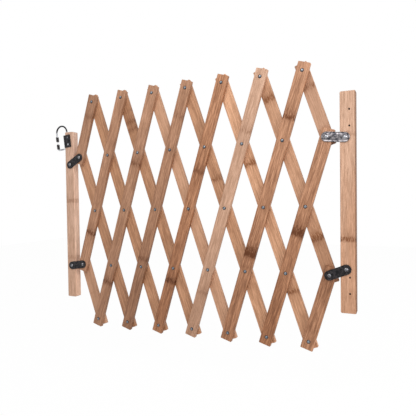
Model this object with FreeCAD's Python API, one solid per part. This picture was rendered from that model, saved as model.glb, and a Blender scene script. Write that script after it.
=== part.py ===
import FreeCAD, Part
import math
import os

os.makedirs("parts", exist_ok=True)

# Expandable trellis gate, in millimetres. +Z is up and the gate is seen from -Y.
# The origin is the middle of the wall post's back face, and the lattice runs to -X.

# Lattice: two layers of slats, riveted at every crossing
RIVET_STEP = 204.9          # rivet to rivet along a slat
SLAT_ANGLE = 17.85          # lean of a slat from the lattice's upright, degrees
LATTICE_LEAN = -0.90        # lean of the whole lattice, top to the left, degrees
COLUMNS = 14                # half diamonds across, from link pivot to link pivot
ROWS = 4                    # half diamonds from the bottom row of rivets to the top row
LINK_ROWS = (1, 3)          # rivet rows that end in a link
SLATS_PER_LAYER = 9
SLAT_WIDTH = 36.5
SLAT_THICKNESS = 12.0
SLAT_OVERHANG = 24.0        # end rivet to the slat's end
SLAT_CORNER = 2.0
SLAT_EASE = 0.8
LAYER_GAP = 0.3

# Rivets and their washers
RIVET_RADIUS = 2.5
HEAD_RADIUS = 5.5
HEAD_HEIGHT = 2.8
TAIL_RADIUS = 4.2
TAIL_THICKNESS = 1.2
WASHER_RADIUS = 6.5
WASHER_THICKNESS = 0.8
TIGHT = 0.02                # radial clearance of a rivet in the piece that holds it
RUNNING = 0.05              # radial clearance of a rivet in a piece that turns on it
SLIDE_GAP = 0.15            # gap under a head or a washer that turns on its neighbour
OVERCUT = 1.0               # how far a cutting shape runs past the face it opens

# Posts
WALL_POST_LENGTH = 615.0
LATCH_POST_LENGTH = 609.0
POST_DEPTH = 27.0
POST_EASE = 1.5
POST_PIN_DEPTH = 15.0
WALL_POST_WIDTH = 42.0
WALL_POST_CORNER = 4.0
WALL_PIN_SPACING = 366.2    # upper to lower link pin of the wall post
UPPER_PIN_INSET = 13.1      # inner edge of the wall post to its upper link pin
LOWER_PIN_INSET = 15.6      # inner edge of the wall post to its lower link pin
WALL_PIN_DROP = 2.1         # middle of the wall post to the middle of its link pins
WALL_SCREW_RADIUS = 2.1
WALL_SCREW_OFFSET = 4.3     # screw holes from the post's centre line, to its outer side
WALL_SCREW_RISE = 2.6       # middle of the four screw holes above the post's middle
WALL_SCREW_NEAR = 209.4     # that middle to the inner screw hole of each pair
WALL_SCREW_SPACING = 45.5
LATCH_POST_WIDTH = 37.0
LATCH_POST_CORNER = 4.0
LATCH_PIN_SPACING = 372.0   # upper to lower link pin of the latch post
LATCH_PIN_INSET = 14.5      # inner edge of the latch post to its link pins
LATCH_PIN_DROP = 2.5        # middle of the latch post to the middle of its link pins

# Links between the lattice and the posts
LINK_LENGTH = 50.0          # pin to pin
LINK_WIDTH = 28.0
LINK_THICKNESS = 2.5
LINK_EASE = 0.6
LINK_GAP = 0.3              # link to the slats and posts behind it
BOSS_RADIUS = 8.0
BOSS_HEIGHT = 0.8

# Latch: a snap loop that hangs in a strap on the latch post
LATCH_DROP = 35.5           # latch post's top to the strap's middle
LATCH_TILT = -7.0           # lean of the strap and loop, top to the left, degrees
STRAP_WIDTH = 30.0
STRAP_LENGTH = 46.0
STRAP_THICKNESS = 2.0
STRAP_CORNER = 3.0
KNUCKLE_WALL = 1.6
FLANGE_GAP = 1.4            # strap's side flange to the post's side
KNUCKLE_SETBACK = 22.0      # knuckle's axis behind the post's front
KNUCKLE_LENGTH = 28.0
KNUCKLE_RISE = 6.0          # knuckle's middle above the strap's middle
SCREW_RADIUS = 1.75
SCREW_HEAD_RADIUS = 3.6
SCREW_HEAD_HEIGHT = 1.8
SCREW_DEPTH = 14.0
SCREW_SPACING = 26.0
SCREW_SLOT = 0.7            # width of each arm of the cross slot
WIRE_RADIUS = 2.9
LOOP_WIDTH = 49.0           # leg to leg, at the wire's axis
LOOP_LEG = 63.5             # lower leg to the start of the arch
LOOP_CORNER = 6.0
LOOP_BELOW_STRAP = 21.0     # strap's middle to the loop's lower leg
GATE_PIN_HEIGHT = 10.0      # gate's pin above the loop's lower leg
GATE_LENGTH = 40.0          # pin to the gate's free end
GATE_RADIUS = 5.2
GATE_NECK_RADIUS = 1.6
GATE_NECK_LENGTH = 11.0
GATE_PIN_RADIUS = 1.0
TONGUE_THICKNESS = 2.0
TONGUE_REACH = 2.4          # tongue's end beyond the gate's pin
TONGUE_SIDE_GAP = 0.2
GATE_END_GAP = 0.4
GATE_PIN_RECESS = 0.3       # pin's ends inside the gate's sides
CHEEK_CUT_BELOW = 7.4       # how far the flats of the tongue run below its pin

# Depths, from the front of the posts and front slats to the back
FRONT = -POST_DEPTH
FRONT_SLAT_BACK = FRONT + SLAT_THICKNESS
BACK_SLAT_FRONT = FRONT_SLAT_BACK + LAYER_GAP
BACK_SLAT_BACK = BACK_SLAT_FRONT + SLAT_THICKNESS
WASHER_FRONT = BACK_SLAT_BACK + SLIDE_GAP
WASHER_BACK = WASHER_FRONT + WASHER_THICKNESS
TAIL_BACK = WASHER_BACK + TAIL_THICKNESS
LINK_BACK = FRONT - LINK_GAP
LINK_FRONT = LINK_BACK - LINK_THICKNESS
BOSS_FRONT = LINK_FRONT - BOSS_HEIGHT

# Half pitch and row height of the lattice
HALF_PITCH = RIVET_STEP * math.sin(math.radians(SLAT_ANGLE))
ROW_HEIGHT = RIVET_STEP * math.cos(math.radians(SLAT_ANGLE))

V = FreeCAD.Vector
Y_AXIS = V(0, 1, 0)

WALL_PIN_Z = WALL_PIN_SPACING / 2
WALL_PINS = [
    V(UPPER_PIN_INSET - WALL_POST_WIDTH / 2, 0, WALL_PIN_Z - WALL_PIN_DROP),
    V(LOWER_PIN_INSET - WALL_POST_WIDTH / 2, 0, -WALL_PIN_Z - WALL_PIN_DROP),
]


def link_angles(post_step):
    """Mean and half difference of the two link angles that join the leaning lattice to a post.

    The post step runs from the lower post pin to the upper one.
    """
    lean = math.radians(LATTICE_LEAN)
    lattice_step = (LINK_ROWS[1] - LINK_ROWS[0]) * ROW_HEIGHT
    across = lattice_step * math.sin(lean) - post_step.x
    up = lattice_step * math.cos(lean) - post_step.z
    spread = math.asin(min(1.0, math.hypot(across, up) / (2 * LINK_LENGTH)))
    sign = math.copysign(1, up)
    return math.atan2(sign * across, sign * up), sign * spread


WALL_MEAN, WALL_SPREAD = link_angles(WALL_PINS[0] - WALL_PINS[1])
LATCH_MEAN, LATCH_SPREAD = link_angles(V(0, 0, LATCH_PIN_SPACING))


def pivot(column, row):
    """Lattice pivot in the gate's frame, counted from the left links and from the bottom row."""
    angle = WALL_MEAN + WALL_SPREAD
    corner_x = WALL_PINS[0].x - LINK_LENGTH * math.cos(angle)
    corner_z = WALL_PINS[0].z + LINK_LENGTH * math.sin(angle)
    across = (column - COLUMNS) * HALF_PITCH
    up = (row - LINK_ROWS[1]) * ROW_HEIGHT
    lean = math.radians(LATTICE_LEAN)
    x = corner_x + across * math.cos(lean) + up * math.sin(lean)
    z = corner_z - across * math.sin(lean) + up * math.cos(lean)
    return V(x, 0, z)


def is_pivot(column, row):
    """True where the lattice has a pivot in this column and row."""
    if not 0 <= column <= COLUMNS or not 0 <= row <= ROWS:
        return False
    return (column + row) % 2 == 1


def front_pivots(number):
    """Columns and rows of the pivots on a front slat, lowest first."""
    places = [(row + 2 * number - ROWS - 1, row) for row in range(ROWS + 1)]
    return [place for place in places if is_pivot(*place)]


def back_pivots(number):
    """Columns and rows of the pivots on a back slat, lowest first."""
    places = [(2 * number - 1 - row, row) for row in range(ROWS + 1)]
    return [place for place in places if is_pivot(*place)]


def is_link_pivot(place):
    """True for the four pivots that carry a link."""
    return place[0] in (0, COLUMNS)


def is_open_pivot(place):
    """True for the two lower link pivots, where the linkage is opened."""
    return is_link_pivot(place) and place[1] == LINK_ROWS[0]


def cylinder_y(radius, front, back, x=0.0, z=0.0):
    """Cylinder along Y between two depths."""
    return Part.makeCylinder(radius, back - front, V(x, front, z), Y_AXIS)


def eased_board(width, front, back, low, high, corner, ease):
    """Upright board with rounded corners in its outline and eased edges front and back."""
    board = Part.makeBox(width, back - front, high - low, V(-width / 2, front, low))
    depth = back - front
    corners = [edge for edge in board.Edges if edge.BoundBox.YLength > depth / 2]
    board = board.makeFillet(corner, corners)
    rims = [edge for edge in board.Edges if edge.BoundBox.YLength < depth / 2]
    return board.makeFillet(ease, rims)


def turned_profile(points):
    """Solid of revolution about Y from a ring of (radius, depth) points.

    An entry with a third item is a point that an arc passes through.
    """
    edges = []
    count = len(points)
    start = V(points[0][0], points[0][1], 0)
    through = None
    for step in range(1, count + 1):
        point = points[step % count]
        if len(point) == 3:
            through = V(point[0], point[1], 0)
            continue
        end = V(point[0], point[1], 0)
        if through is None:
            edges.append(Part.makeLine(start, end))
        else:
            edges.append(Part.Arc(start, through, end).toShape())
        start = end
        through = None
    face = Part.Face(Part.Wire(edges))
    return face.revolve(V(0, 0, 0), Y_AXIS, 360)


def dome_points(radius, height, seat):
    """Crown, middle and rim of a round head that sits on a face at the given depth."""
    sphere = (radius * radius + height * height) / (2 * height)
    half = math.asin(min(1.0, radius / sphere)) / 2
    middle = (sphere * math.sin(half), seat - height + sphere * (1 - math.cos(half)), "arc")
    return [(0, seat - height), middle, (radius, seat)]


def headed_pin(seat, end, shank, head_radius, head_height):
    """Round-headed pin with a plain end."""
    head = dome_points(head_radius, head_height, seat)
    return turned_profile(head + [(shank, seat), (shank, end), (0, end)])


def tail_points():
    """Shank and formed tail of a rivet behind its washer."""
    return [
        (RIVET_RADIUS, WASHER_BACK),
        (TAIL_RADIUS, WASHER_BACK),
        (TAIL_RADIUS, TAIL_BACK),
        (0, TAIL_BACK),
    ]


def rivet(seat):
    """Round-headed rivet from the depth its head sits at to its formed tail behind the washer."""
    head = dome_points(HEAD_RADIUS, HEAD_HEIGHT, seat)
    return turned_profile(head + [(RIVET_RADIUS, seat)] + tail_points())


def flush_rivet():
    """Rivet with no head, which ends level with the front slat under an open link pivot."""
    return turned_profile([(0, FRONT), (RIVET_RADIUS, FRONT)] + tail_points())


def washer():
    """Flat washer between a rivet's tail and the back slat."""
    ring = cylinder_y(WASHER_RADIUS, WASHER_FRONT, WASHER_BACK)
    bore = cylinder_y(RIVET_RADIUS + TIGHT, WASHER_FRONT - OVERCUT, WASHER_BACK + OVERCUT)
    return ring.cut(bore)


def slat(places, angle, front, hole_radius):
    """One slat through the given pivots, drilled for their rivets."""
    top = (len(places) - 1) * RIVET_STEP
    back = front + SLAT_THICKNESS
    board = eased_board(
        SLAT_WIDTH, front, back, -SLAT_OVERHANG, top + SLAT_OVERHANG, SLAT_CORNER, SLAT_EASE
    )
    holes = [
        cylinder_y(hole_radius, front - OVERCUT, back + OVERCUT, 0, step * RIVET_STEP)
        for step in range(len(places))
    ]
    board = board.cut(Part.makeCompound(holes))
    board.rotate(V(0, 0, 0), Y_AXIS, angle + LATTICE_LEAN)
    board.translate(pivot(*places[0]))
    return board


def moved(shape, place):
    """Copy of a shape carried to a point."""
    copy = shape.copy()
    copy.translate(place)
    return copy


def link():
    """Link plate along -X from its post pin, with a raised boss round each pin hole."""
    half = LINK_WIDTH / 2
    far = V(-LINK_LENGTH, LINK_FRONT, 0)
    rise = V(0, 0, half)
    reach = V(half, 0, 0)
    near = V(0, LINK_FRONT, 0)
    outline = Part.Wire([
        Part.makeLine(far + rise, near + rise),
        Part.Arc(near + rise, near + reach, near - rise).toShape(),
        Part.makeLine(near - rise, far - rise),
        Part.Arc(far - rise, far - reach, far + rise).toShape(),
    ])
    plate = Part.Face(outline).extrude(V(0, LINK_THICKNESS, 0))
    rims = [edge for edge in plate.Edges if edge.BoundBox.YLength < LINK_THICKNESS / 2]
    plate = plate.makeFillet(LINK_EASE, rims)
    middle = (LINK_FRONT + LINK_BACK) / 2
    bosses = [cylinder_y(BOSS_RADIUS, BOSS_FRONT, middle, x) for x in (0, -LINK_LENGTH)]
    holes = [
        cylinder_y(RIVET_RADIUS + RUNNING, BOSS_FRONT - OVERCUT, LINK_BACK + OVERCUT, x)
        for x in (0, -LINK_LENGTH)
    ]
    return plate.fuse(bosses).cut(Part.makeCompound(holes)).removeSplitter()


def placed_link(post_pin, angle):
    """Link turned about its post pin by an angle about Y, in radians."""
    piece = link()
    piece.rotate(V(0, 0, 0), Y_AXIS, math.degrees(angle))
    piece.translate(post_pin)
    return piece


def post_pin_hole(pin):
    """Blind hole for a link's rivet in the front of a post."""
    return cylinder_y(RIVET_RADIUS + TIGHT, FRONT - OVERCUT, FRONT + POST_PIN_DEPTH, pin.x, pin.z)


def wall_post():
    """Post that screws to the wall, with two blind link holes and four screw holes."""
    half = WALL_POST_LENGTH / 2
    post = eased_board(WALL_POST_WIDTH, FRONT, 0, -half, half, WALL_POST_CORNER, POST_EASE)
    holes = [post_pin_hole(pin) for pin in WALL_PINS]
    for side in (1, -1):
        for step in range(2):
            height = WALL_SCREW_RISE + side * (WALL_SCREW_NEAR + step * WALL_SCREW_SPACING)
            hole = cylinder_y(WALL_SCREW_RADIUS, FRONT - OVERCUT, OVERCUT, WALL_SCREW_OFFSET, height)
            holes.append(hole)
    return post.cut(Part.makeCompound(holes))


def latch_post_pins():
    """Upper and lower link pins of the latch post, in the gate's frame."""
    upper = pivot(0, LINK_ROWS[1])
    angle = LATCH_MEAN - LATCH_SPREAD
    x = upper.x - LINK_LENGTH * math.cos(angle)
    z = upper.z + LINK_LENGTH * math.sin(angle)
    return V(x, 0, z), V(x, 0, z - LATCH_PIN_SPACING)


UPPER_LATCH_PIN, LOWER_LATCH_PIN = latch_post_pins()
LATCH_PIN_MIDDLE = (UPPER_LATCH_PIN + LOWER_LATCH_PIN) * 0.5
LATCH_POST_MIDDLE = LATCH_PIN_MIDDLE + V(LATCH_PIN_INSET - LATCH_POST_WIDTH / 2, 0, LATCH_PIN_DROP)
KNUCKLE_RADIUS = WIRE_RADIUS + RUNNING + KNUCKLE_WALL
KNUCKLE_CLEAR = FLANGE_GAP + KNUCKLE_RADIUS
KNUCKLE_Y = FRONT + KNUCKLE_SETBACK
LATCH_HEIGHT = LATCH_POST_LENGTH / 2 - LATCH_DROP
STRAP_MIDDLE = LATCH_POST_MIDDLE + V(-LATCH_POST_WIDTH / 2 - KNUCKLE_CLEAR, 0, LATCH_HEIGHT)


def latch_placed(shape):
    """Latch piece drawn about the knuckle's middle, tilted and carried to the latch post."""
    shape.rotate(V(0, 0, 0), Y_AXIS, LATCH_TILT)
    shape.translate(STRAP_MIDDLE)
    return shape


def screw_places():
    """The two strap screws, about the knuckle's middle."""
    right = KNUCKLE_RADIUS - STRAP_THICKNESS + STRAP_WIDTH
    across = (KNUCKLE_CLEAR + right) / 2
    return [V(across, 0, side * SCREW_SPACING / 2) for side in (1, -1)]


def screw():
    """Round-headed strap screw with a blind cross slot in its head."""
    seat = FRONT - STRAP_THICKNESS
    body = headed_pin(seat, FRONT + SCREW_DEPTH, SCREW_RADIUS, SCREW_HEAD_RADIUS, SCREW_HEAD_HEIGHT)
    length = SCREW_HEAD_RADIUS
    front = seat - SCREW_HEAD_HEIGHT - OVERCUT
    depth = OVERCUT + SCREW_HEAD_HEIGHT / 2
    wide = Part.makeBox(length, depth, SCREW_SLOT, V(-length / 2, front, -SCREW_SLOT / 2))
    tall = Part.makeBox(SCREW_SLOT, depth, length, V(-SCREW_SLOT / 2, front, -length / 2))
    return body.cut(wide).cut(tall)


def latch_post():
    """Post at the free end, with two blind link holes and two strap screw holes."""
    half = LATCH_POST_LENGTH / 2
    post = eased_board(LATCH_POST_WIDTH, FRONT, 0, -half, half, LATCH_POST_CORNER, POST_EASE)
    post.translate(LATCH_POST_MIDDLE)
    holes = [post_pin_hole(pin) for pin in (UPPER_LATCH_PIN, LOWER_LATCH_PIN)]
    bottom = FRONT + SCREW_DEPTH + OVERCUT
    for place in screw_places():
        hole = cylinder_y(SCREW_RADIUS + TIGHT, FRONT - OVERCUT, bottom, place.x, place.z)
        holes.append(latch_placed(hole))
    return post.cut(Part.makeCompound(holes))


def strap():
    """Bent strap: a plate on the post's front, a flange along its side, and the loop's knuckle."""
    half = STRAP_LENGTH / 2
    bend = KNUCKLE_RADIUS - STRAP_THICKNESS
    face = FRONT - STRAP_THICKNESS
    corner = V(bend, face, -half)
    plate = Part.makeBox(STRAP_WIDTH, STRAP_THICKNESS, STRAP_LENGTH, corner)
    right = [
        edge for edge in plate.Edges
        if edge.BoundBox.YLength > STRAP_THICKNESS / 2 and edge.BoundBox.XMin > bend + STRAP_WIDTH / 2
    ]
    plate = plate.makeFillet(STRAP_CORNER, right)
    up = V(0, 0, 1)
    low = KNUCKLE_RISE - KNUCKLE_LENGTH / 2
    flange = Part.makeBox(STRAP_THICKNESS, KNUCKLE_Y - face, KNUCKLE_LENGTH, V(bend, face, low))
    knuckle = Part.makeCylinder(KNUCKLE_RADIUS, KNUCKLE_LENGTH, V(0, KNUCKLE_Y, low), up)
    bore_foot = V(0, KNUCKLE_Y, low - OVERCUT)
    bore = Part.makeCylinder(WIRE_RADIUS + RUNNING, KNUCKLE_LENGTH + 2 * OVERCUT, bore_foot, up)
    holes = [bore]
    for place in screw_places():
        hole = cylinder_y(SCREW_RADIUS + TIGHT, face - OVERCUT, FRONT + OVERCUT, place.x, place.z)
        holes.append(hole)
    body = plate.fuse([flange, knuckle])
    return latch_placed(body.cut(Part.makeCompound(holes)).removeSplitter())


def loop_point(left, up):
    """Point in the loop's plane, from the foot of its knuckle leg."""
    return V(-left, KNUCKLE_Y, up - LOOP_BELOW_STRAP)


def loop():
    """Bent wire from the gate's tongue, up through the knuckle and over the arch to the gate's end."""
    corner = LOOP_CORNER
    bend = corner * (1 - math.sqrt(0.5))
    half = LOOP_WIDTH / 2
    end = GATE_PIN_HEIGHT + GATE_LENGTH + GATE_END_GAP
    tip = GATE_PIN_HEIGHT + TONGUE_REACH
    path = Part.Wire([
        Part.makeLine(loop_point(LOOP_WIDTH, tip), loop_point(LOOP_WIDTH, corner)),
        Part.Arc(
            loop_point(LOOP_WIDTH, corner),
            loop_point(LOOP_WIDTH - bend, bend),
            loop_point(LOOP_WIDTH - corner, 0),
        ).toShape(),
        Part.makeLine(loop_point(LOOP_WIDTH - corner, 0), loop_point(corner, 0)),
        Part.Arc(loop_point(corner, 0), loop_point(bend, bend), loop_point(0, corner)).toShape(),
        Part.makeLine(loop_point(0, corner), loop_point(0, LOOP_LEG)),
        Part.Arc(
            loop_point(0, LOOP_LEG), loop_point(half, LOOP_LEG + half), loop_point(LOOP_WIDTH, LOOP_LEG)
        ).toShape(),
        Part.makeLine(loop_point(LOOP_WIDTH, LOOP_LEG), loop_point(LOOP_WIDTH, end)),
    ])
    section = Part.Wire([Part.makeCircle(WIRE_RADIUS, loop_point(LOOP_WIDTH, tip), V(0, 0, -1))])
    wire = path.makePipeShell([section], True, False)
    low = GATE_PIN_HEIGHT - CHEEK_CUT_BELOW
    foot = loop_point(LOOP_WIDTH + GATE_RADIUS, low)
    cheek = GATE_RADIUS
    for side in (1, -1):
        inner = side * TONGUE_THICKNESS / 2
        y = KNUCKLE_Y + min(inner, inner + side * cheek)
        block = Part.makeBox(2 * GATE_RADIUS, cheek, tip - low + OVERCUT, V(foot.x, y, foot.z))
        wire = wire.cut(block)
    pin = loop_point(LOOP_WIDTH, GATE_PIN_HEIGHT)
    reach = GATE_RADIUS + OVERCUT
    wire = wire.cut(cylinder_y(GATE_PIN_RADIUS + TIGHT, pin.y - reach, pin.y + reach, pin.x, pin.z))
    return latch_placed(wire)


def gate():
    """Sprung gate: a bar with a thick sleeve at each end, slotted at its foot over the loop's tongue."""
    pin = loop_point(LOOP_WIDTH, GATE_PIN_HEIGHT)
    foot = -GATE_RADIUS
    neck = (GATE_LENGTH + foot - GATE_NECK_LENGTH) / 2
    up = V(0, 0, 1)
    lower = Part.makeCylinder(GATE_RADIUS, neck - foot, pin + up * foot, up)
    middle = Part.makeCylinder(GATE_NECK_RADIUS, GATE_NECK_LENGTH, pin + up * neck, up)
    upper = Part.makeCylinder(
        GATE_RADIUS, GATE_LENGTH - neck - GATE_NECK_LENGTH, pin + up * (neck + GATE_NECK_LENGTH), up
    )
    bar = lower.fuse([middle, upper])
    slot_width = TONGUE_THICKNESS + 2 * TONGUE_SIDE_GAP
    slot_top = math.hypot(TONGUE_REACH, WIRE_RADIUS) + TONGUE_SIDE_GAP
    reach = GATE_RADIUS + OVERCUT
    slot = Part.makeBox(
        2 * reach, slot_width, slot_top - foot + OVERCUT,
        V(pin.x - reach, pin.y - slot_width / 2, pin.z + foot - OVERCUT),
    )
    bore = cylinder_y(GATE_PIN_RADIUS + RUNNING, pin.y - reach, pin.y + reach, pin.x, pin.z)
    return latch_placed(bar.cut(slot).cut(bore))


def gate_pin():
    """Pin through the tongue and the gate's two cheeks."""
    pin = loop_point(LOOP_WIDTH, GATE_PIN_HEIGHT)
    reach = GATE_RADIUS - GATE_PIN_RECESS
    return latch_placed(cylinder_y(GATE_PIN_RADIUS, pin.y - reach, pin.y + reach, pin.x, pin.z))


def save(name, shapes):
    """Write one node, whose solids stay separate."""
    solids = []
    for shape in shapes:
        solids.extend(shape.Solids)
    node = solids[0] if len(solids) == 1 else Part.makeCompound(solids)
    node.exportStep("parts/" + name + ".step")
    print(name, len(solids), round(sum(solid.Volume for solid in solids), 1), node.isValid())


# Posts, with the rivets that hold the links to them
save("wall_post", [wall_post()])
save("latch_post", [latch_post()])
latch_pins = [UPPER_LATCH_PIN, LOWER_LATCH_PIN]
link_seat = BOSS_FRONT - SLIDE_GAP
post_rivet = headed_pin(link_seat, FRONT + POST_PIN_DEPTH, RIVET_RADIUS, HEAD_RADIUS, HEAD_HEIGHT)
save("wall_post_rivets", [moved(post_rivet, pin) for pin in WALL_PINS])
save("latch_post_rivets", [moved(post_rivet, pin) for pin in latch_pins])

# Slats, rivets and washers
for number in range(1, SLATS_PER_LAYER + 1):
    places = front_pivots(number)
    save("front_slat_%d" % number, [slat(places, SLAT_ANGLE, FRONT, RIVET_RADIUS + TIGHT)])
    rivets = []
    for place in places:
        if is_open_pivot(place):
            rivets.append(moved(flush_rivet(), pivot(*place)))
        elif not is_link_pivot(place):
            rivets.append(moved(rivet(FRONT), pivot(*place)))
    save("rivets_%d" % number, rivets)
    save("washers_%d" % number, [moved(washer(), pivot(*place)) for place in places])
for number in range(1, SLATS_PER_LAYER + 1):
    places = back_pivots(number)
    save("back_slat_%d" % number, [slat(places, -SLAT_ANGLE, BACK_SLAT_FRONT, RIVET_RADIUS + RUNNING)])

# Links: right-hand ones reach left from the wall post, left-hand ones reach right from the latch post
save("link_upper_right", [placed_link(WALL_PINS[0], WALL_MEAN + WALL_SPREAD)])
save("link_lower_right", [placed_link(WALL_PINS[1], WALL_MEAN - WALL_SPREAD)])
save("link_upper_left", [placed_link(latch_pins[0], math.pi + LATCH_MEAN - LATCH_SPREAD)])
save("link_lower_left", [placed_link(latch_pins[1], math.pi + LATCH_MEAN + LATCH_SPREAD)])
link_rivet = rivet(link_seat)
save("link_rivet_upper_right", [moved(link_rivet, pivot(COLUMNS, LINK_ROWS[1]))])
save("link_rivet_upper_left", [moved(link_rivet, pivot(0, LINK_ROWS[1]))])
short_rivet = headed_pin(BOSS_FRONT, LINK_BACK, RIVET_RADIUS, HEAD_RADIUS, HEAD_HEIGHT)
save("link_rivet_lower_right", [moved(short_rivet, pivot(COLUMNS, LINK_ROWS[0]))])
save("link_rivet_lower_left", [moved(short_rivet, pivot(0, LINK_ROWS[0]))])

# Latch
save("latch_strap", [strap()])
save("latch_screws", [latch_placed(moved(screw(), place)) for place in screw_places()])
save("latch_loop", [loop()])
save("latch_gate", [gate()])
save("latch_gate_pin", [gate_pin()])
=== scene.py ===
import math

import bmesh
import bpy
import numpy as np
from mathutils import Matrix, Vector


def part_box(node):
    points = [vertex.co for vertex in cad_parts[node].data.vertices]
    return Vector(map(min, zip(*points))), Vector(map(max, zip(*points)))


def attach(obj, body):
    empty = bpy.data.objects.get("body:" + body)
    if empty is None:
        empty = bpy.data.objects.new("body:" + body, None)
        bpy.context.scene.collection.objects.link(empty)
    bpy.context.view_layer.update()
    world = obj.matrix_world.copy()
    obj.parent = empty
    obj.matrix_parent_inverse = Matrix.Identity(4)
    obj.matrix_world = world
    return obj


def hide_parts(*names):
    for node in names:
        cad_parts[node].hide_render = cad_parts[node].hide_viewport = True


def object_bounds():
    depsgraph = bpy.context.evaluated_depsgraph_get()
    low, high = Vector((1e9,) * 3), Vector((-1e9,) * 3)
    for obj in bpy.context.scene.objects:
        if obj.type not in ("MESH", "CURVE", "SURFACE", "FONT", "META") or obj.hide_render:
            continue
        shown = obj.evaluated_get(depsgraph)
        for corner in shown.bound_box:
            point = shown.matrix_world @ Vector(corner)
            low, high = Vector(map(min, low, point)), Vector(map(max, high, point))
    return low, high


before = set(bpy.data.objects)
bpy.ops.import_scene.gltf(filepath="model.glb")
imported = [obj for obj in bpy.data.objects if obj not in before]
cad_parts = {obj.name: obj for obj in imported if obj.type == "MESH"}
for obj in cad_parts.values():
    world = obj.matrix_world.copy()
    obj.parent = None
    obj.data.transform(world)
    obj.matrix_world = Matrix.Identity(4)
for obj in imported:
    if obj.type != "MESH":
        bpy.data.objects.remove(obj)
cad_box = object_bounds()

# Expandable trellis gate in metres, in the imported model's frame: front is -Y, up is +Z.

# Lean of the two layers of slats from the upright, top to the right, in degrees
FRONT_LEAN = 16.95
BACK_LEAN = -18.75

# Slat surface
SLAT_CORNER = 0.0020        # rounding of a slat's outline at its ends
SLAT_EASE = 0.0008          # rounding of a slat's long edges
RING_STEP = 0.004           # spacing of the rings along a slat
EASE_STEPS = 5              # points on each rounded edge
NODE_GROOVE = 0.00015       # depth of the scraped groove at a bamboo node
NODE_WIDTH = 0.0095         # half length of that groove, and of the dark line in it, along the slat
NODE_SMOKE = 0.019          # how far the darkening above a node fades out
NODE_FOOT = 0.009           # how far it fades out below the node
SMOKE_SHARE = 0.8           # strength of that darkening against the node's dark line
NODE_WAVE = 0.0012          # height of the wave in which a node crosses its slat
NODE_WAVE_TURN = 330.0      # turn of that wave in radians for each metre across the slat
GRAIN_SHIFT = 1.37          # how far apart two slats are cut from the same grain, across it
GRAIN_SKEW = 1.7            # the same along the grain, as a multiple
CORNER_STEPS = 9            # rings over the rounding at each end
EASE_RINGS = (0.1, 0.3, 0.6, 1.0)                       # further rings there, as shares of the ease
FACE_POINTS = (0.97, 0.6, 0.2, -0.2, -0.6, -0.97)       # points across a wide face, in half widths
SIDE_POINTS = (0.85, 0.0, -0.85)                        # points across a narrow side, in half depths
FACE_REACH = 0.99           # share of the half width within which a point belongs to a wide face
WELD = 1e-7                 # points of a surface closer than this are one point

# Tone, warmth and bamboo nodes of each slat: brightness at its foot and its head, share of the warmer colour
# at both, and for each node its height above the foot, its strength, and the tone of the strip below it.
# The brightness at foot and head and the tones below the nodes are partly the bamboo's own uneven tone
# and partly painted light and shade, darker lower down on many slats
FRONT_SLATS = {
    1: ((1.02, 0.86), (0.35, 0.35), [(0.175, 0.5, 1.0)]),
    2: ((1.02, 1.03), (0.45, 0.45), [(0.146, 1.3, 1.0), (0.480, 0.2, 1.0)]),
    3: ((0.85, 1.02), (0.40, 0.40), [(0.167, 1.2, 1.0), (0.600, 0.8, 1.0)]),
    4: ((0.81, 1.00), (0.45, 0.45), [(0.260, 0.8, 0.84), (0.751, 0.4, 1.0)]),
    5: ((0.79, 1.02), (0.95, 0.80), [(0.185, 1.5, 1.0), (0.559, 0.8, 1.0)]),
    6: ((1.14, 1.46), (0.14, 0.05), [(0.153, 0.5, 0.93), (0.680, 0.5, 1.0)]),
    7: ((0.79, 1.20), (0.82, 0.60), [(0.245, 0.4, 1.0), (0.287, 3.0, 1.0), (0.708, 1.2, 1.0)]),
    8: ((0.75, 1.12), (1.00, 0.55), [(0.355, 2.4, 1.0)]),
    9: ((0.98, 0.70), (0.70, 0.70), [(0.060, 0.3, 1.0)]),
}
BACK_SLATS = {
    1: ((1.10, 0.92), (0.20, 0.20), [(0.120, 0.2, 1.0)]),
    2: ((0.75, 1.00), (0.65, 0.65), [(0.310, 0.1, 1.0)]),
    3: ((0.89, 0.91), (0.80, 0.80), [(0.240, 0.2, 1.0), (0.610, 0.2, 1.0)]),
    4: (
        (0.95, 0.83), (0.75, 0.75),
        [(0.330, 0.3, 1.0), (0.725, 0.7, 1.0), (0.754, 1.0, 0.95), (0.792, 0.5, 1.0)],
    ),
    5: ((1.05, 1.11), (0.35, 0.35), [(0.260, 0.1, 1.0), (0.690, 0.1, 1.0)]),
    6: ((1.06, 0.93), (0.75, 0.75), [(0.182, 0.3, 1.0), (0.532, 0.9, 1.0)]),
    7: ((1.09, 1.31), (0.70, 0.70), [(0.171, 1.0, 0.94), (0.575, 1.5, 1.0)]),
    8: ((1.06, 1.12), (0.50, 0.50), [(0.134, 1.7, 0.80), (0.568, 1.6, 1.0)]),
    # Back slat 9's first entry has no node: its tone of 0.38 at the foot is painted shadow under the upper
    # right link
    9: ((1.16, 0.90), (0.00, 0.00), [(0.020, 0.0, 0.38), (0.179, 0.8, 1.0)]),
}

# Bamboo nodes of the posts, as distance below the post's top and strength
WALL_POST_NODES = [(0.117, 0.32), (0.408, 0.90)]
LATCH_POST_NODES = [(0.253, 0.5), (0.462, 0.35)]
POST_SMOKE = 2.0            # reach of the darkening above a post's node, in smoke lengths
POST_SMOKE_SHARE = 0.35     # its strength against the node's dark line
POST_LINE = (1.2, 0.4)      # where the dark line begins and is full, in node widths
WALL_GRAIN = 0.31           # where each post is cut from the grain
LATCH_GRAIN = 0.73

# Screw holes of the wall post, across and up, and the painted shade in and round them
WALL_BORES = [(0.0043, 0.2120), (0.0043, 0.2575), (0.0043, -0.2068), (0.0043, -0.2523)]
BORE_SHADE_EDGE = 0.0031           # where the painted shade begins
BORE_SHADE_FULL = 0.0024          # where the painted shade is full
BORE_SHADE_TONE = 0.10            # tone of the painted shade inside it
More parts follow.
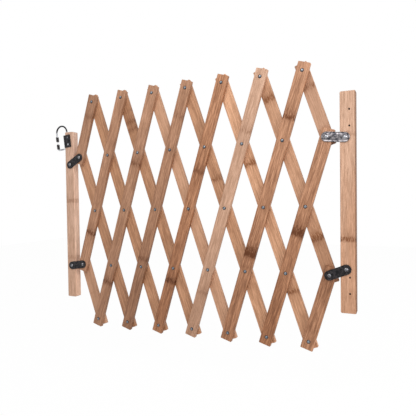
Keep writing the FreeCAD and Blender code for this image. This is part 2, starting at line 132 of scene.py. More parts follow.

# Stamped links
LINK_ROUND = 0.0009         # rounding of a link's edge
LINK_BOSS = 0.0080          # radius of the raised boss round each pin
BOSS_HEIGHT = 0.0008
BOSS_SLOPE = 0.0012
GROOVE_INSET = 0.0042       # stamped line that follows the link's edge
GROOVE_WIDTH = 0.0009
GROOVE_DEPTH = 0.0005
DENT_COUNT = 60
DENT_RADIUS = 0.0024
DENT_SIZES = (0.6, 1.3)     # smallest and largest dent, as a multiple of that radius
DENT_SPREAD = (1.7, 0.6)    # reach of the dents along and across the link, in halves of the pin spacing
DENT_EDGE = 0.4             # where the dents begin, as a share of the stamped line's inset
BOSS_CALM = 0.8             # share of the dents that a boss takes away
SCUFFED = 0.00050           # height of the dents on the bright link
EVEN = 0.00020              # and on the black ones
ARC_STEPS = 40              # points round each end of a link
LINE_STEPS = 44             # points along each straight side
FACE_STEPS = 36             # rings from the front's middle line to the edge
BACK_STEPS = 6              # rings on the back
ROUND_STEPS = 6             # rings over each rounded edge

# Colours, linear
FRONT_COOL = (0.410, 0.236, 0.152)
FRONT_WARM = (0.410, 0.181, 0.088)
BACK_COOL = (0.500, 0.280, 0.176)
BACK_WARM = (0.500, 0.248, 0.130)
WALL_COOL = (0.600, 0.368, 0.250)
WALL_WARM = (0.544, 0.292, 0.175)
LATCH_COOL = (0.560, 0.354, 0.254)
LATCH_WARM = (0.542, 0.328, 0.222)
NODE_DARK = (0.118, 0.032, 0.005)
NODE_BROWN = (0.200, 0.071, 0.024)
FRONT_CONTRAST = 0.25       # swing of the grain in the warmest slat
BACK_CONTRAST = 0.17
POST_CONTRAST = 0.12
COOL_CONTRAST = 0.5         # swing in the coolest slat, as a share
FRONT_SIDE_SHADE = 0.84           # painted shade on a front slat's narrow sides, as a tone against its face
BACK_SIDE_SHADE = 1.00
WALL_SIDE_SHADE = (0.30, 0.0040)  # painted shade on the wall post's outer side, as a tone, and the width over which it begins
# Painted light on the latch post's outer side, as a tone, and the width over which it begins
LATCH_SIDE_LIGHT = (1.36, 0.0012)
# Painted dark reflection on the arch of the chromed loop
ARCH_DARK_REFLECTION = (0.025, 0.025, 0.028)
ARCH_REFLECTION_FADE = (0.032, 0.020)  # below the loop's top, where the painted dark reflection on its arch begins and is full
# Painted highlight on the gate's neck; the rest of the gate is painted dark as its reflection
NECK_HIGHLIGHT = (0.80, 0.80, 0.82)
NECK_HALF = 0.0050          # half length of the painted highlight on the neck between the gate's sleeves
BAND_EDGE = 0.0004          # height over which a band begins
# Painted dark reflection round the rim of each slat rivet's head
RIVET_RIM_REFLECTION = (0.022, 0.026, 0.034)
RIM_REFLECTION_RANGE = (0.74, 0.95)    # how far a head's normal follows its axis, where the painted dark reflection at the rim is full and gone
SCREW_DARK = (0.110, 0.110, 0.120)
SCREW_FADE = 0.0020         # half the height over which the upper latch screw turns dark
WALL_RIVET_BRIGHT = (0.34, 0.34, 0.36)
WALL_RIVET_FADE = 0.05      # half the height over which the wall side's upper rivets turn bright
SHADE_POWERS = (("Red", 1.0), ("Green", 1.18), ("Blue", 1.35))      # how fast each channel falls in a shade

# Noise of the bamboo: scale across, through and along the strip, detail and roughness
STREAK = ((300.0, 300.0, 13.0), 2.0, 0.65)
FIBRE = ((560.0, 560.0, 32.0), 2.0, 0.65)
CLOUD = ((38.0, 38.0, 7.0), 2.0, 0.5)
PORE = ((1500.0, 1500.0, 60.0), 1.0, 0.5)
RAG = ((380.0, 380.0, 95.0), 3.0, 0.7)
POST_CLOUD = ((60.0, 60.0, 6.0), 2.0, 0.5)

# Ranges of the noise, and the values that their ends are carried to
LINE_RANGE = (0.36, 0.64, -1.0, 1.0)        # streaks and fibres, as shares of the swing
CLOUD_RANGE = (0.25, 0.75, 0.93, 1.07)
PORE_RANGE = (0.60, 0.72)
PORE_TONE = 0.72            # tone in a pore
PORE_SINK = 0.6             # depth of a pore against the height of the fibres
RAG_RANGE = (0.40, 0.60, 0.32, 1.12)        # strength of a node's darkening along its ragged edge
POST_CLOUD_RANGE = (0.3, 0.7, -0.2, 0.2)
SIDE_RANGE = (0.2, 0.9)     # share of a narrow side, between the face's tone and the side's own painted shade
GLOSS_RANGE = (0.3, 0.7, 0.44, 0.60)        # fibres to roughness
BAMBOO_BUMP = (0.35, 0.0004)
BAMBOO_SPECULAR = 0.30

# Noise of the metals: detail and roughness, and the ranges that are used
BLOTCH = (3.0, 0.6)
BLOTCH_RANGE = (0.35, 0.68)
FINE = (2.0, 0.6)
FINE_RANGE = (0.3, 0.7)
FINE_SCALE = 6              # times finer than the blotches
FINE_SHARE = 0.3            # height of the fine noise in the dimples
DIMPLE_DEPTH = 0.0006

# Metals: pale and dark tone, roughness from and to, metallic share, dimples, noise scale, specular level
METALS = {
    "rivet_blue_steel": ((0.330, 0.350, 0.380), (0.110, 0.122, 0.140), (0.10, 0.20), 1.0, 0.06, 330.0, 0.50),
    "dark_link_rivet": ((0.300, 0.300, 0.310), (0.070, 0.070, 0.080), (0.14, 0.24), 1.0, 0.06, 260.0, 0.50),
    "wall_link_rivet": ((0.300, 0.300, 0.310), (0.070, 0.070, 0.080), (0.14, 0.24), 1.0, 0.06, 260.0, 0.50),
    "latch_screw_steel": ((0.50, 0.50, 0.52), (0.22, 0.22, 0.24), (0.14, 0.24), 1.0, 0.06, 260.0, 0.50),
    "washer_steel": ((0.46, 0.46, 0.45), (0.30, 0.30, 0.29), (0.30, 0.46), 1.0, 0.10, 180.0, 0.50),
    "black_stoved_steel": ((0.038, 0.034, 0.037), (0.002, 0.002, 0.003), (0.22, 0.40), 0.0, 0.9, 190.0, 0.18),
    "bright_zinc": ((0.36, 0.335, 0.345), (0.05, 0.05, 0.06), (0.18, 0.32), 1.0, 0.45, 130.0, 0.50),
    "chromed_wire": ((0.62, 0.63, 0.65), (0.30, 0.30, 0.32), (0.08, 0.18), 1.0, 0.04, 90.0, 0.50),
    # The chromed gate, painted dark as its reflection
    "gate_dark_reflection": ((0.040, 0.034, 0.036), (0.012, 0.010, 0.011), (0.25, 0.40), 0.3, 0.12, 300.0, 0.30),
}

# Studio
AMBIENT = 0.50
KEY_POWER = 33.8
KEY_SIZE = 1.8
KEY_PLACE = (-0.30, -1.7, 2.0)
SIDE_POWER = 55.0
SIDE_SIZE = 2.0
SIDE_PLACE = (2.2, -0.45, 1.0)
FLOOR_DROP = 0.12           # floor below the gate's lowest point
FLOOR_SIZE = 8.0
FLOOR_TONE = (0.88, 0.88, 0.88, 1.0)
WHITE = (1.0, 1.0, 1.0, 1.0)
FLOOR_WHITE = 0.975         # share of plain white in the floor, as the camera sees it

# Camera
CAMERA_AZIMUTH = 24.52
CAMERA_ELEVATION = 1.43
CAMERA_ROLL = -0.78
CAMERA_DISTANCE = 1.3759
CAMERA_TARGET = (-0.4292, -0.0160, -0.0137)
FOCAL_PIXELS = 431.0
IMAGE_PIXELS = 416.0
SENSOR = 36.0


def unit_step(low, high, value):
    """Smooth step: 0 below low, 1 above high, and 3t^2 - 2t^3 of the way t between them."""
    t = np.clip((value - low) / (high - low), 0.0, 1.0)
    return t * t * (3.0 - 2.0 * t)


def node_points(name):
    """Corners of a CAD node as an array of points."""
    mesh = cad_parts[name].data
    flat = np.empty(len(mesh.vertices) * 3, np.float32)
    mesh.vertices.foreach_get("co", flat)
    return flat.reshape(-1, 3).astype(float)


def grid_faces(rows, columns):
    """Quads between neighbouring rows of a grid whose columns close into a ring."""
    row, column = np.meshgrid(np.arange(rows - 1), np.arange(columns), indexing="ij")
    here = row * columns + column
    beside = row * columns + (column + 1) % columns
    return np.stack([here, beside, beside + columns, here + columns], -1).reshape(-1, 4)


def surface_piece(name, grid, tips, attributes, material):
    """Closed mesh from rows of rings, with a point beyond the first and the last ring where tips are given.

    The faces are turned outwards by the sign of the enclosed volume, which is a sixth of the sum
    of the triple products of the triangles.
    """
    rows, columns, _ = grid.shape
    points = grid.reshape(-1, 3)
    faces = grid_faces(rows, columns).tolist()
    if tips is not None:
        points = np.vstack([points, tips])
        ring = np.arange(columns)
        after = (ring + 1) % columns
        first = np.stack([after, ring, np.full(columns, rows * columns)], -1)
        last_row = (rows - 1) * columns
        last = np.stack([last_row + ring, last_row + after, np.full(columns, rows * columns + 1)], -1)
        faces = faces + first.tolist() + last.tolist()
    mesh = bpy.data.meshes.new(name)
    mesh.from_pydata(points.tolist(), [], faces)
    for label, kind, values in attributes:
        layer = mesh.attributes.new(label, kind, "POINT")
        field = "vector" if kind == "FLOAT_VECTOR" else "value"
        layer.data.foreach_set(field, values.astype(np.float32).ravel())
    body = bmesh.new()
    body.from_mesh(mesh)
    bmesh.ops.remove_doubles(body, verts=body.verts, dist=WELD)
    if body.calc_volume(signed=True) < 0:
        bmesh.ops.reverse_faces(body, faces=body.faces)
    body.to_mesh(mesh)
    body.free()
    mesh.polygons.foreach_set("use_smooth", np.ones(len(mesh.polygons), bool))
    mesh.materials.append(material)
    piece = bpy.data.objects.new(name, mesh)
    bpy.context.scene.collection.objects.link(piece)
    return piece


def fitted(piece, node, body):
    """Lets a piece stand for a CAD node, which it hides, and move with its body."""
    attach(piece, body)
    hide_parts(node)


def eased_section():
    """Shares of a rounded rectangle, walked round once.

    A point of the section is flat share times (half size less the ease), plus round share times the ease,
    in each of the two directions. Flats carry extra points so that their shading stays flat.
    """
    angle = np.linspace(0.0, math.pi / 2, EASE_STEPS)
    face = np.array(FACE_POINTS)
    side = np.array(SIDE_POINTS)
    flat_x, flat_y, round_x, round_y = [], [], [], []
    for quarter, (x, y) in enumerate(((1, 1), (-1, 1), (-1, -1), (1, -1))):
        turn = angle + quarter * math.pi / 2
        flat_x.append(np.full(EASE_STEPS, float(x)))
        flat_y.append(np.full(EASE_STEPS, float(y)))
        round_x.append(np.cos(turn))
        round_y.append(np.sin(turn))
        run = face * y if quarter % 2 == 0 else side * y
        level = np.full(len(run), 1.0)
        still = np.zeros(len(run))
        if quarter % 2 == 0:
            flat_x.append(run)
            flat_y.append(level * y)
            round_x.append(still)
            round_y.append(level * y)
        else:
            flat_x.append(level * x)
            flat_y.append(run)
            round_x.append(level * x)
            round_y.append(still)
    return [np.concatenate(part) for part in (flat_x, flat_y, round_x, round_y)]


SECTION = eased_section()


def node_marks(height, nodes):
    """Darkness along a strip: a narrow bell at each node, and smoke that fades above and below it."""
    mark = np.zeros_like(height)
    for place, strength, _ in nodes:
        gap = height - place
        bell = np.exp(-((gap / NODE_WIDTH) ** 2))
        smoke = SMOKE_SHARE * np.exp(-np.abs(gap) / np.where(gap > 0, NODE_SMOKE, NODE_FOOT))
        mark = np.maximum(mark, strength * np.maximum(bell, smoke))
    return mark


def strip_tone(height, nodes):
    """Tone along a strip, which changes from one level to the next across each node."""
    tone = np.ones_like(height)
    for place, _, below in reversed(nodes):
        tone = below + (tone - below) * unit_step(place - NODE_FOOT, place + NODE_FOOT, height)
    return tone


def slat_piece(name, number, lean, tones, warmths, nodes, material):
    """One slat: a rounded-rectangle section carried along the slat's axis.

    The half width follows the outline, less the corner radius plus the root of r^2 - (r - s)^2 at a distance
    s from an end; the half depth does the same with the ease. At a node the wide faces sink by a bell curve.
    """
    turn = math.radians(lean)
    along = np.array((math.sin(turn), 0.0, math.cos(turn)))
    across = np.array((math.cos(turn), 0.0, -math.sin(turn)))
    deep = np.array((0.0, 1.0, 0.0))
    corners = node_points(name)
    spans = [corners @ axis for axis in (across, deep, along)]
    low = np.array([span.min() for span in spans])
    size = np.array([span.max() for span in spans]) - low
    middle = low + size / 2
    length = size[2]
    end = SLAT_CORNER * (1 - np.cos(np.linspace(0.0, math.pi / 2, CORNER_STEPS)))
    end = np.unique(np.concatenate([end, SLAT_EASE * np.array(EASE_RINGS)]))
    runs = max(2, int(round((length - 2 * SLAT_CORNER) / RING_STEP)))
    body = np.linspace(SLAT_CORNER, length - SLAT_CORNER, runs)[1:-1]
    height = np.concatenate([end, body, (length - end)[::-1]])
    inset = np.minimum(height, length - height)
    bend = np.clip(SLAT_CORNER - inset, 0.0, None)
    half_width = size[0] / 2 - SLAT_CORNER + np.sqrt(SLAT_CORNER ** 2 - bend ** 2)
    roll = np.clip(SLAT_EASE - inset, 0.0, None)
    half_depth = size[1] / 2 - SLAT_EASE + np.sqrt(SLAT_EASE ** 2 - roll ** 2)
    flat_x, flat_y, round_x, round_y = SECTION
    x = flat_x * (half_width[:, None] - SLAT_EASE) + round_x * SLAT_EASE
    y = flat_y * (half_depth[:, None] - SLAT_EASE) + round_y * SLAT_EASE
    z = np.repeat(height[:, None], len(flat_x), 1)
    wavy = z + NODE_WAVE * np.sin(x * NODE_WAVE_TURN + number)
    sunk = np.zeros_like(z)
    for place, strength, _ in nodes:
        sunk += strength * np.exp(-(((wavy - place) / NODE_WIDTH) ** 2))
    y = y - np.sign(round_y) * (np.abs(flat_x) < FACE_REACH) * NODE_GROOVE * np.clip(sunk, 0.0, 1.0)
    local = np.stack([x, y, z], -1)
    tips = np.array([[0.0, 0.0, 0.0], [0.0, 0.0, length]])
    origin = middle[0] * across + middle[1] * deep + low[2] * along
    axes = np.stack([across, deep, along])
    strip = np.vstack([local.reshape(-1, 3), tips])
    waves = np.concatenate([wavy.ravel(), tips[:, 2]])
    # Share of each point that lies on a narrow side, where the finish paints shade
    side = np.concatenate([np.tile(round_x ** 2, len(height)), [0.0, 0.0]])
    shift = np.array([number * GRAIN_SHIFT, 0.0, number * GRAIN_SHIFT * GRAIN_SKEW])
    attributes = [
        ("strip", "FLOAT_VECTOR", strip + shift),
        ("mark", "FLOAT", node_marks(waves, nodes)),
        ("side", "FLOAT", side),
        ("tone", "FLOAT", np.interp(strip[:, 2], (0.0, length), tones) * strip_tone(waves, nodes)),
        ("warmth", "FLOAT", np.interp(strip[:, 2], (0.0, length), warmths)),
    ]
    return surface_piece(name + "_bamboo", origin + local @ axes, origin + tips @ axes, attributes, material)


def link_relief(flat, half, inset, dent_height, seed):
    """Height of a link's stamped face: a boss round each pin, a line along the edge, and beaten dents.

    Points are in the link's own plane, with the pins at (-1, 0) and (1, 0) times half the pin spacing.
    The dents are a sum of bell curves at scattered places, mostly kept off the bosses and off the rim.
    """
    near = np.hypot(np.abs(flat[..., 0]) - half, flat[..., 1])
    boss = unit_step(LINK_BOSS, LINK_BOSS - BOSS_SLOPE, near)
    line = np.exp(-(((inset - GROOVE_INSET) / GROOVE_WIDTH) ** 2))
    random = np.random.default_rng(seed)
    spread = half * np.array(DENT_SPREAD)
    places = random.uniform(-spread, spread, (DENT_COUNT, 2))
    sizes = random.uniform(*DENT_SIZES, DENT_COUNT) * DENT_RADIUS
    depths = random.uniform(-1.0, 1.0, DENT_COUNT)
    square = ((flat[..., None, :] - places) ** 2).sum(-1)
    dents = (depths * np.exp(-square / (2 * sizes ** 2))).sum(-1)
    panel = unit_step(GROOVE_INSET * DENT_EDGE, GROOVE_INSET, inset) * (1 - BOSS_CALM * boss)
    return BOSS_HEIGHT * boss - GROOVE_DEPTH * line * (1 - boss) + dent_height * dents * panel


def link_piece(name, rivet, dent_height, seed, material):
    """Stamped link plate: a profile from the front's middle line over the edge to the back, swept round it.

    A point is the nearest place on the line between the pins, plus the outward direction times the half
    width less the inset; on the front the stamped relief is added to its depth.
    """
    low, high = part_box(name)
    pin_low, pin_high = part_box(rivet)
    centre = np.array((low + high) / 2)
    pin = np.array((pin_low + pin_high) / 2)
    reach = (pin - centre) * (1, 0, 1)
    half = np.linalg.norm(reach)
    main = reach / half
    cross = np.array((-main[2], 0.0, main[0]))
    corners = node_points(name)
    radius = np.ptp(corners @ cross) / 2
    face = low.y + BOSS_HEIGHT
    back = high.y
    arc = np.linspace(-math.pi / 2, math.pi / 2, ARC_STEPS)
    run = np.linspace(1.0, -1.0, LINE_STEPS)[1:-1]
    spine = np.concatenate([np.ones(ARC_STEPS), run, -np.ones(ARC_STEPS), -run]) * half
    level = np.zeros(len(run))
    out_x = np.concatenate([np.cos(arc), level, -np.cos(arc), level])
    out_z = np.concatenate([np.sin(arc), level + 1, -np.sin(arc), level - 1])
    quarter = np.linspace(0.0, math.pi / 2, ROUND_STEPS)
    front_inset = np.linspace(radius, LINK_ROUND, FACE_STEPS)
    back_inset = np.linspace(LINK_ROUND, radius, BACK_STEPS)
    inset = np.concatenate([
        front_inset,
        LINK_ROUND * (1 - np.sin(quarter[1:])),
        LINK_ROUND * (1 - np.cos(quarter)),
        back_inset[1:],
    ])
    depth = np.concatenate([
        np.full(FACE_STEPS, face),
        face + LINK_ROUND * (1 - np.cos(quarter[1:])),
        back - LINK_ROUND * (1 - np.sin(quarter)),
        np.full(BACK_STEPS - 1, back),
    ])
    flat_x = spine + out_x * (radius - inset[:, None])
    flat_z = out_z * (radius - inset[:, None])
    flat = np.stack([flat_x, flat_z], -1)
    wide = np.repeat(inset[:, None], len(spine), 1)
    relief = link_relief(flat, half, wide, dent_height, seed)
    front_rows = (np.arange(len(inset)) < FACE_STEPS)[:, None]
    y = depth[:, None] - relief * front_rows
    grid = centre * (1, 0, 1) + flat_x[..., None] * main + flat_z[..., None] * cross
    grid[..., 1] = y
    return surface_piece(name + "_stamped", grid, None, [], material)


class Finish:
    """A material under construction: its node tree and the few node shapes that the finishes share."""

    def __init__(self, name):
        self.material = bpy.data.materials.new(name)
        self.material.use_nodes = True
        self.tree = self.material.node_tree
        self.shader = self.tree.nodes["Principled BSDF"]

    def node(self, kind, **settings):
        made = self.tree.nodes.new(kind)
        for key, value in settings.items():
            setattr(made, key, value)
        return made

    def join(self, source, target):
        self.tree.links.new(source, target)

    def attribute(self, label, output):
        return self.node("ShaderNodeAttribute", attribute_name=label).outputs[output]

    def placed(self, source, scale, location=(0.0, 0.0, 0.0)):
        """Coordinates moved and scaled by a Mapping node."""
        mapping = self.node("ShaderNodeMapping")
        mapping.inputs["Location"].default_value = location
        mapping.inputs["Scale"].default_value = scale
        self.join(source, mapping.inputs["Vector"])
        return mapping.outputs["Vector"]

    def noise(self, source, scale, detail, roughness):
        """Noise over coordinates that are scaled separately in each direction."""
        noise = self.node("ShaderNodeTexNoise")
        noise.inputs["Scale"].default_value = 1.0
        noise.inputs["Detail"].default_value = detail
        noise.inputs["Roughness"].default_value = roughness
        self.join(self.placed(source, scale), noise.inputs["Vector"])
        return noise.outputs["Fac"]

    def ranged(self, source, low, high, start=0.0, end=1.0):
        """Value carried from one range to another, smoothly and held at the ends."""
        node = self.node("ShaderNodeMapRange", interpolation_type="SMOOTHSTEP")
        for key, value in (("From Min", low), ("From Max", high), ("To Min", start), ("To Max", end)):
            node.inputs[key].default_value = value
        self.join(source, node.inputs["Value"])
        return node.outputs["Result"]

    def math(self, operation, first, second):
        node = self.node("ShaderNodeMath", operation=operation)
        for socket, value in zip(node.inputs, (first, second)):
            if isinstance(value, (int, float)):
                socket.default_value = value
            else:
                self.join(value, socket)
        return node.outputs["Value"]

    def mixed(self, factor, first, second, blend="MIX"):
        """Mix of two colours, each a colour or a socket."""
        node = self.node("ShaderNodeMix", data_type="RGBA", blend_type=blend)
        sockets = (node.inputs["Factor"], node.inputs[6], node.inputs[7])
        for socket, value in zip(sockets, (factor, first, second)):
            if isinstance(value, tuple):
                socket.default_value = (*value, 1.0)
            elif isinstance(value, (int, float)):
                socket.default_value = value
            else:
                self.join(value, socket)
        return node.outputs[2]

    def warmed(self, value):
        """A shade as a colour that turns warmer as it darkens: a higher power in green and in blue."""
        node = self.node("ShaderNodeCombineColor")
        for channel, power in SHADE_POWERS:
            self.join(self.math("POWER", value, power), node.inputs[channel])
        return node.outputs["Color"]

    def bump(self, height, strength, distance):
        node = self.node("ShaderNodeBump")
        node.inputs["Strength"].default_value = strength
        node.inputs["Distance"].default_value = distance
        self.join(height, node.inputs["Height"])
        self.join(node.outputs["Normal"], self.shader.inputs["Normal"])


def bamboo_grain(finish, place, colour, mark, burn, tone, swing):
    """Carbonised bamboo on a strip: pale and dark streaks, fine fibres, short pores, and smoky nodes.

    The streaks and the fibres each go from 1 less to 1 plus the swing.
    """
    kinds = (STREAK, FIBRE, CLOUD, PORE, RAG)
    streak, fibre, cloud, pore, rag = [finish.noise(place, *kind) for kind in kinds]
    shade = 1.0
    for lines in (streak, fibre):
        change = finish.math("MULTIPLY", finish.ranged(lines, *LINE_RANGE), swing)
        shade = finish.math("MULTIPLY", shade, finish.math("ADD", change, 1.0))
    shade = finish.math("MULTIPLY", shade, finish.ranged(cloud, *CLOUD_RANGE))
    dash = finish.ranged(pore, *PORE_RANGE)
    shade = finish.math("MULTIPLY", shade, finish.ranged(dash, 0.0, 1.0, 1.0, PORE_TONE))
    grained = finish.mixed(1.0, colour, finish.warmed(shade), "MULTIPLY")
    stain = finish.math("MULTIPLY", mark, finish.ranged(rag, *RAG_RANGE))
    stained = finish.mixed(stain, grained, burn)
    toned = finish.mixed(1.0, stained, finish.warmed(tone), "MULTIPLY")
    finish.join(toned, finish.shader.inputs["Base Color"])
    finish.join(finish.ranged(fibre, *GLOSS_RANGE), finish.shader.inputs["Roughness"])
    height = finish.math("SUBTRACT", fibre, finish.math("MULTIPLY", dash, PORE_SINK))
    finish.bump(height, *BAMBOO_BUMP)
    finish.shader.inputs["Specular IOR Level"].default_value = BAMBOO_SPECULAR
    return finish.material


def slat_bamboo(name, cool, warm, burn, side_shading, contrast):
    """Bamboo that reads a slat's own strip coordinates, tone, warmth, nodes and narrow sides, which take
    painted shade.
    """
    finish = Finish(name)
    place = finish.attribute("strip", "Vector")
    warmth = finish.attribute("warmth", "Fac")
    colour = finish.mixed(warmth, cool, warm)
    swing = finish.ranged(warmth, 0.0, 1.0, COOL_CONTRAST * contrast, contrast)
    side = finish.ranged(finish.attribute("side", "Fac"), *SIDE_RANGE, 1.0, side_shading)
    tone = finish.math("MULTIPLY", finish.attribute("tone", "Fac"), side)
    return bamboo_grain(finish, place, colour, finish.attribute("mark", "Fac"), burn, tone, swing)


def post_bamboo(name, node, cool, warm, marks, shift, side, bores):
    """Bamboo for an upright post, whose nodes lie at given distances below its top.

    Its +X side takes a tone of its own, painted shade on the wall post and painted light on the latch post,
    and the walls and rims of its screw holes are darkened with painted shade. Its colour runs from the cool
    one at the top to the warm, darker one at the foot, partly the bamboo's own colour and partly painted
    shade that deepens downwards.
    """
    finish = Finish(name)
    low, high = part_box(node)
    object_place = finish.node("ShaderNodeTexCoord").outputs["Object"]
    place = finish.placed(object_place, (1.0, 1.0, 1.0), (shift, 0.0, shift))
    split = finish.node("ShaderNodeSeparateXYZ")
    finish.join(object_place, split.inputs["Vector"])
    level = split.outputs["Z"]
    begin, full = (share * NODE_WIDTH for share in POST_LINE)
    mark = None
    for drop, strength in marks:
        height = high.z - drop
        smoke = finish.ranged(level, height + POST_SMOKE * NODE_SMOKE, height, 0.0, POST_SMOKE_SHARE)
        line = finish.ranged(level, height + begin, height + full)
        below = finish.ranged(level, height - begin, height - full, 0.0, strength)
        band = finish.math("MULTIPLY", finish.math("MAXIMUM", smoke, line), below)
        mark = band if mark is None else finish.math("MAXIMUM", mark, band)
    cloud = finish.noise(place, *POST_CLOUD)
    # Colour from the cool one at the top to the warm, darker one at the foot: partly the bamboo's own colour,
    # partly painted shade that deepens downwards
    tint_and_shade_fall = finish.ranged(level, high.z, low.z)
    blend = finish.math("ADD", tint_and_shade_fall, finish.ranged(cloud, *POST_CLOUD_RANGE))
    colour = finish.mixed(blend, cool, warm)
    # Painted shade on the wall post's +X side, painted light on the latch post's
    side_shading, edge = side
    tone = finish.ranged(split.outputs["X"], high.x - edge, high.x, 1.0, side_shading)
    # Painted shade in and round each screw hole
    for x, z in bores:
        gap = finish.node("ShaderNodeVectorMath", operation="DISTANCE")
        finish.join(finish.placed(object_place, (1.0, 0.0, 1.0)), gap.inputs[0])
        gap.inputs[1].default_value = (x, 0.0, z)
        shade = finish.ranged(gap.outputs["Value"], BORE_SHADE_EDGE, BORE_SHADE_FULL, 1.0, BORE_SHADE_TONE)
        tone = finish.math("MULTIPLY", tone, shade)
    return bamboo_grain(finish, place, colour, mark, NODE_BROWN, tone, POST_CONTRAST)


def metal(name, upper=None, band=None, rim_reflection=None):
    """Metal or paint over metal: two tones by a blotchy noise, uneven gloss, and small dimples.

    An upper tone, given with the two heights between which it takes over, covers the top of the piece; on the
    chromed loop it is a painted dark reflection.
    A band, given with its lower and upper height and its tone, goes round the piece; on the gate it is a
    painted highlight.
    A rim tone, a painted dark reflection, covers the parts of a round head that turn away from its axis,
    which lies along Y.
    """
    pale, dark, roughness, metallic, dimple, speck, specular = METALS[name]
    finish = Finish(name)
    place = finish.node("ShaderNodeTexCoord").outputs["Object"]
    blotch = finish.noise(place, (speck,) * 3, *BLOTCH)
    fine = finish.noise(place, (speck * FINE_SCALE,) * 3, *FINE)
    colour = finish.mixed(finish.ranged(blotch, *BLOTCH_RANGE), dark, pale)
    split = finish.node("ShaderNodeSeparateXYZ")
    finish.join(place, split.inputs["Vector"])
    height = split.outputs["Z"]
    if upper is not None:
        colour = finish.mixed(finish.ranged(height, upper[0], upper[1]), colour, upper[2])
    if band is not None:
        above = finish.ranged(height, band[0] - BAND_EDGE, band[0])
        below = finish.ranged(height, band[1] + BAND_EDGE, band[1])
        colour = finish.mixed(finish.math("MULTIPLY", above, below), colour, band[2])
    # Painted dark reflection where a round head turns away from its axis
    if rim_reflection is not None:
        turned = finish.node("ShaderNodeSeparateXYZ")
        finish.join(finish.node("ShaderNodeTexCoord").outputs["Normal"], turned.inputs["Vector"])
        along = finish.math("ABSOLUTE", turned.outputs["Y"], 0.0)
        colour = finish.mixed(finish.ranged(along, *RIM_REFLECTION_RANGE), rim_reflection, colour)
    finish.join(colour, finish.shader.inputs["Base Color"])
    finish.join(finish.ranged(fine, *FINE_RANGE, *roughness), finish.shader.inputs["Roughness"])
    finish.shader.inputs["Metallic"].default_value = metallic
    finish.shader.inputs["Specular IOR Level"].default_value = specular
    finish.bump(finish.math("ADD", blotch, finish.math("MULTIPLY", fine, FINE_SHARE)), dimple, DIMPLE_DEPTH)
    return finish.material


def middle_height(name):
    """Height of the middle of a CAD node's box."""
    return sum(corner.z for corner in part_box(name)) / 2


def dress(names, material):
    """Gives CAD nodes their finish."""
    for name in names:
        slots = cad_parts[name].data.materials
        slots.clear()
        slots.append(material)


# Finishes
front_bamboo = slat_bamboo(
    "bamboo_front_layer", FRONT_COOL, FRONT_WARM, NODE_DARK, FRONT_SIDE_SHADE, FRONT_CONTRAST
)
back_bamboo = slat_bamboo(
    "bamboo_back_layer", BACK_COOL, BACK_WARM, NODE_BROWN, BACK_SIDE_SHADE, BACK_CONTRAST
)
wall_bamboo = post_bamboo(
    "bamboo_wall_post", "wall_post", WALL_COOL, WALL_WARM, WALL_POST_NODES, WALL_GRAIN, WALL_SIDE_SHADE, WALL_BORES
)
latch_bamboo = post_bamboo(
    "bamboo_latch_post", "latch_post", LATCH_COOL, LATCH_WARM, LATCH_POST_NODES, LATCH_GRAIN, LATCH_SIDE_LIGHT, []
)
rivet_steel = metal("rivet_blue_steel", rim_reflection=RIVET_RIM_REFLECTION)
dark_rivet = metal("dark_link_rivet")
wall_rivet = metal("wall_link_rivet", upper=(-WALL_RIVET_FADE, WALL_RIVET_FADE, WALL_RIVET_BRIGHT))
screw_middle = middle_height("latch_screws")
screw_steel = metal(
    "latch_screw_steel", upper=(screw_middle - SCREW_FADE, screw_middle + SCREW_FADE, SCREW_DARK)
)
washer_steel = metal("washer_steel")
black_steel = metal("black_stoved_steel")
zinc_steel = metal("bright_zinc")
# Painted dark reflection over the arch of the loop
arch_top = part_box("latch_loop")[1].z
arch_begin, arch_full = ARCH_REFLECTION_FADE
chrome = metal("chromed_wire", upper=(arch_top - arch_begin, arch_top - arch_full, ARCH_DARK_REFLECTION))
# The gate painted dark as its reflection, with a painted highlight round its neck
neck_middle = middle_height("latch_gate")
gate_painted_reflection = metal(
    "gate_dark_reflection", band=(neck_middle - NECK_HALF, neck_middle + NECK_HALF, NECK_HIGHLIGHT)
)

# Slats of both layers: name, values, lean, finish, slot, and how many slats were numbered before
layers = (
    ("front_slat_%d", FRONT_SLATS, FRONT_LEAN, front_bamboo, "bamboo_front", 0),
    ("back_slat_%d", BACK_SLATS, BACK_LEAN, back_bamboo, "bamboo_back", len(FRONT_SLATS)),
)
for pattern, slats, lean, material, slot, start in layers:
    for number, (tones, warmths, nodes) in slats.items():
        name = pattern % number
        piece = slat_piece(name, start + number, lean, tones, warmths, nodes, material)
        fitted(piece, name, name)

# Links: node, rivet at one of its pins, height and seed of its dents, finish and slot
links = (
    ("link_upper_right", "link_rivet_upper_right", SCUFFED, 5, zinc_steel, "zinc_steel"),
    ("link_lower_right", "link_rivet_lower_right", EVEN, 6, black_steel, "black_steel"),
    ("link_upper_left", "link_rivet_upper_left", EVEN, 7, black_steel, "black_steel"),
    ("link_lower_left", "link_rivet_lower_left", EVEN, 8, black_steel, "black_steel"),
)
for name, rivet, dent_height, seed, material, slot in links:
    fitted(link_piece(name, rivet, dent_height, seed, material), name, name)

# Pieces that keep their CAD shape
dress(["wall_post"], wall_bamboo)
dress(["latch_post"], latch_bamboo)
dress(["rivets_%d" % number for number in FRONT_SLATS], rivet_steel)
dress(["washers_%d" % number for number in FRONT_SLATS], washer_steel)
dress(["wall_post_rivets", "link_rivet_upper_right"], wall_rivet)
dress(
    ["latch_post_rivets", "link_rivet_lower_right", "link_rivet_upper_left", "link_rivet_lower_left"],
    dark_rivet,
)
dress(["latch_strap"], black_steel)
dress(["latch_screws"], screw_steel)
dress(["latch_loop", "latch_gate_pin"], chrome)
dress(["latch_gate"], gate_painted_reflection)


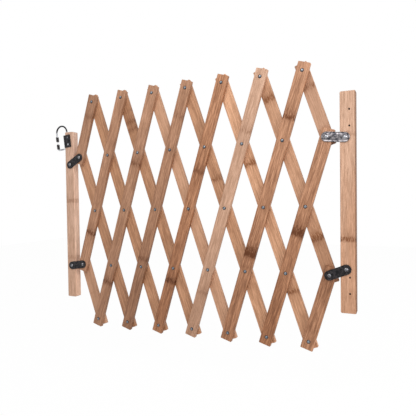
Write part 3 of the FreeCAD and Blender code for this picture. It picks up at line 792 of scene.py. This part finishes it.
def camera_rays(tree):
    """1 for rays that show the background itself: from the camera, in a reflection or through glass."""
    path = tree.nodes.new("ShaderNodeLightPath")
    total = path.outputs["Is Camera Ray"]
    for name in ("Is Glossy Ray", "Is Transmission Ray"):
        node = tree.nodes.new("ShaderNodeMath")
        node.operation = "MAXIMUM"
        tree.links.new(total, node.inputs[0])
        tree.links.new(path.outputs[name], node.inputs[1])
        total = node.outputs["Value"]
    return total


def floor_piece():
    """Pale floor below the gate, white to the camera but for the gate's shadow."""
    low, high = cad_box
    half = FLOOR_SIZE / 2
    middle = (low + high) / 2
    level = low.z - FLOOR_DROP
    signs = ((-1, -1), (1, -1), (1, 1), (-1, 1))
    corners = [(middle.x + x * half, middle.y + y * half, level) for x, y in signs]
    mesh = bpy.data.meshes.new("pale_floor")
    mesh.from_pydata(corners, [], [(0, 1, 2, 3)])
    floor = bpy.data.objects.new("pale_floor", mesh)
    bpy.context.scene.collection.objects.link(floor)
    material = bpy.data.materials.new("pale_floor")
    material.use_nodes = True
    tree = material.node_tree
    shader = tree.nodes["Principled BSDF"]
    shader.inputs["Base Color"].default_value = FLOOR_TONE
    shader.inputs["Roughness"].default_value = 1.0
    shader.inputs["Specular IOR Level"].default_value = 0.0
    white = tree.nodes.new("ShaderNodeEmission")
    white.inputs["Strength"].default_value = 1.0
    share = tree.nodes.new("ShaderNodeMath")
    share.operation = "MULTIPLY"
    tree.links.new(camera_rays(tree), share.inputs[0])
    share.inputs[1].default_value = FLOOR_WHITE
    mix = tree.nodes.new("ShaderNodeMixShader")
    tree.links.new(share.outputs["Value"], mix.inputs["Fac"])
    tree.links.new(shader.outputs["BSDF"], mix.inputs[1])
    tree.links.new(white.outputs["Emission"], mix.inputs[2])
    tree.links.new(mix.outputs["Shader"], tree.nodes["Material Output"].inputs["Surface"])
    mesh.materials.append(material)


def studio_light():
    """White surroundings at a soft level, a broad lamp above the front and one on the wall side."""
    scene = bpy.context.scene
    world = bpy.data.worlds.new("studio")
    world.use_nodes = True
    scene.world = world
    tree = world.node_tree
    soft = tree.nodes["Background"]
    soft.inputs["Color"].default_value = WHITE
    soft.inputs["Strength"].default_value = AMBIENT
    white = tree.nodes.new("ShaderNodeBackground")
    white.inputs["Color"].default_value = WHITE
    white.inputs["Strength"].default_value = 1.0
    mix = tree.nodes.new("ShaderNodeMixShader")
    tree.links.new(camera_rays(tree), mix.inputs["Fac"])
    tree.links.new(soft.outputs["Background"], mix.inputs[1])
    tree.links.new(white.outputs["Background"], mix.inputs[2])
    tree.links.new(mix.outputs["Shader"], tree.nodes["World Output"].inputs["Surface"])
    lamps = (("key", KEY_POWER, KEY_SIZE, KEY_PLACE), ("side", SIDE_POWER, SIDE_SIZE, SIDE_PLACE))
    for name, power, size, place in lamps:
        lamp = bpy.data.lights.new(name, "AREA")
        lamp.shape = "SQUARE"
        lamp.size = size
        lamp.energy = power
        stand = bpy.data.objects.new(name, lamp)
        scene.collection.objects.link(stand)
        stand.location = place
        aim = Vector(CAMERA_TARGET) - stand.location
        stand.rotation_euler = aim.to_track_quat("-Z", "Y").to_euler()


def photo_camera():
    """Camera on a sphere round the gate, rolled about its own axis."""
    azimuth = math.radians(CAMERA_AZIMUTH)
    elevation = math.radians(CAMERA_ELEVATION)
    back = Vector((
        math.sin(azimuth) * math.cos(elevation),
        -math.cos(azimuth) * math.cos(elevation),
        math.sin(elevation),
    ))
    right = (-back).cross(Vector((0.0, 0.0, 1.0))).normalized()
    up = right.cross(-back)
    roll = math.radians(CAMERA_ROLL)
    turned_right = math.cos(roll) * right + math.sin(roll) * up
    turned_up = math.cos(roll) * up - math.sin(roll) * right
    data = bpy.data.cameras.new("camera")
    data.sensor_width = SENSOR
    data.lens = SENSOR * FOCAL_PIXELS / IMAGE_PIXELS
    camera = bpy.data.objects.new("camera", data)
    bpy.context.scene.collection.objects.link(camera)
    place = Matrix((turned_right, turned_up, back)).transposed().to_4x4()
    place.translation = Vector(CAMERA_TARGET) + back * CAMERA_DISTANCE
    camera.matrix_world = place
    bpy.context.scene.camera = camera


floor_piece()
studio_light()
photo_camera()
bpy.context.scene.view_settings.view_transform = "Standard"
